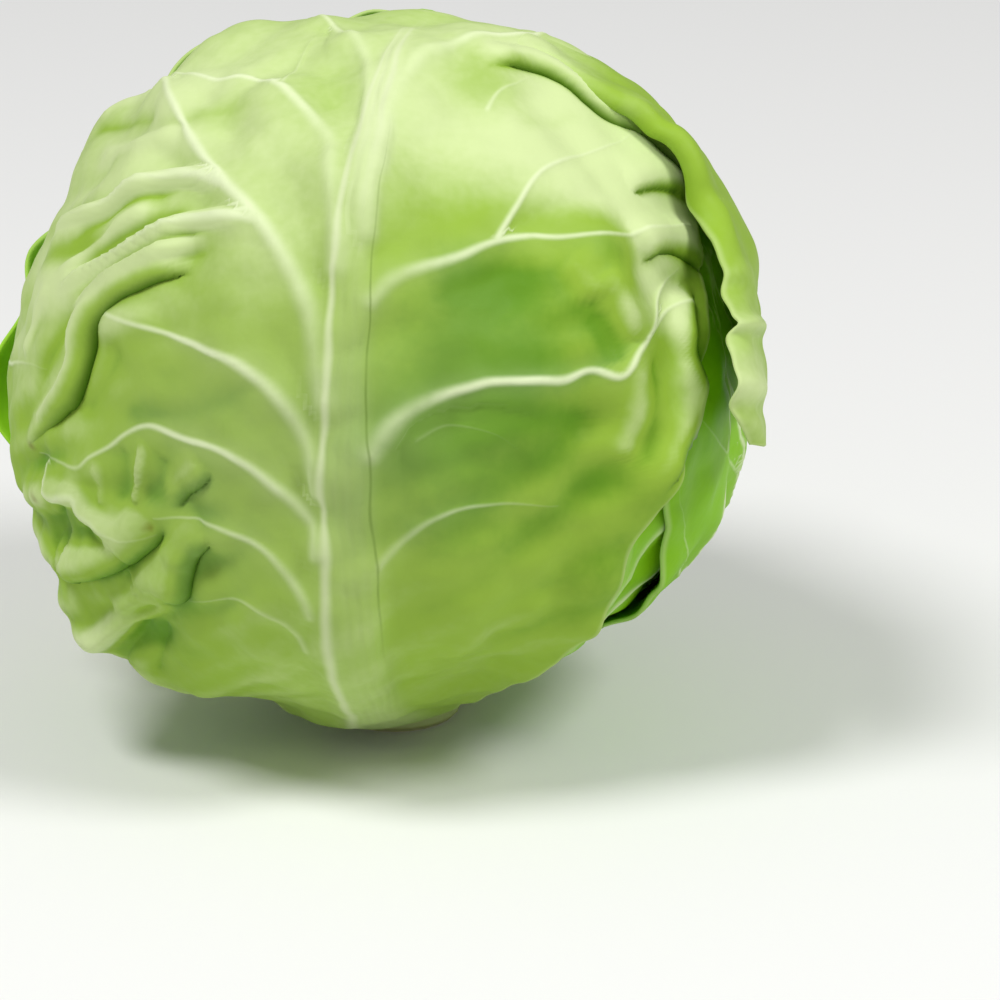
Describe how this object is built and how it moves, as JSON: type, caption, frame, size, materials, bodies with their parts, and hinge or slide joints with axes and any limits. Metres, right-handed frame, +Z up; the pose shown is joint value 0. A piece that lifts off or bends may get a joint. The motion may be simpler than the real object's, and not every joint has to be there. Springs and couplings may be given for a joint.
{
  "type": "cabbage head",
  "caption": "Whole round head of white cabbage with loose, clasping wrapper leaves, one folded lobe and a cut stump.",
  "frame": {"origin": "centre of the stump's cut foot, on the surface the head stands on", "axes": "+Z up along the stump and core, front towards -Y: the side with the big midrib; +X is the viewer's right"},
  "size_m": [0.1939, 0.1812, 0.1822],
  "materials": {
    "stump": "matt, moist cut face",
    "heart": "waxy, satin",
    "inner_leaf": "waxy, satin",
    "outer_leaf": "waxy, satin"
  },
  "bodies": {
    "root": {"stump": "stump", "heart": "heart", "leaf_inner_front": "inner_leaf", "leaf_left": "inner_leaf", "leaf_back": "inner_leaf", "leaf_right": "inner_leaf", "leaf_front": "outer_leaf", "leaf_back_left": "outer_leaf"}
  },
  "joints": []
}
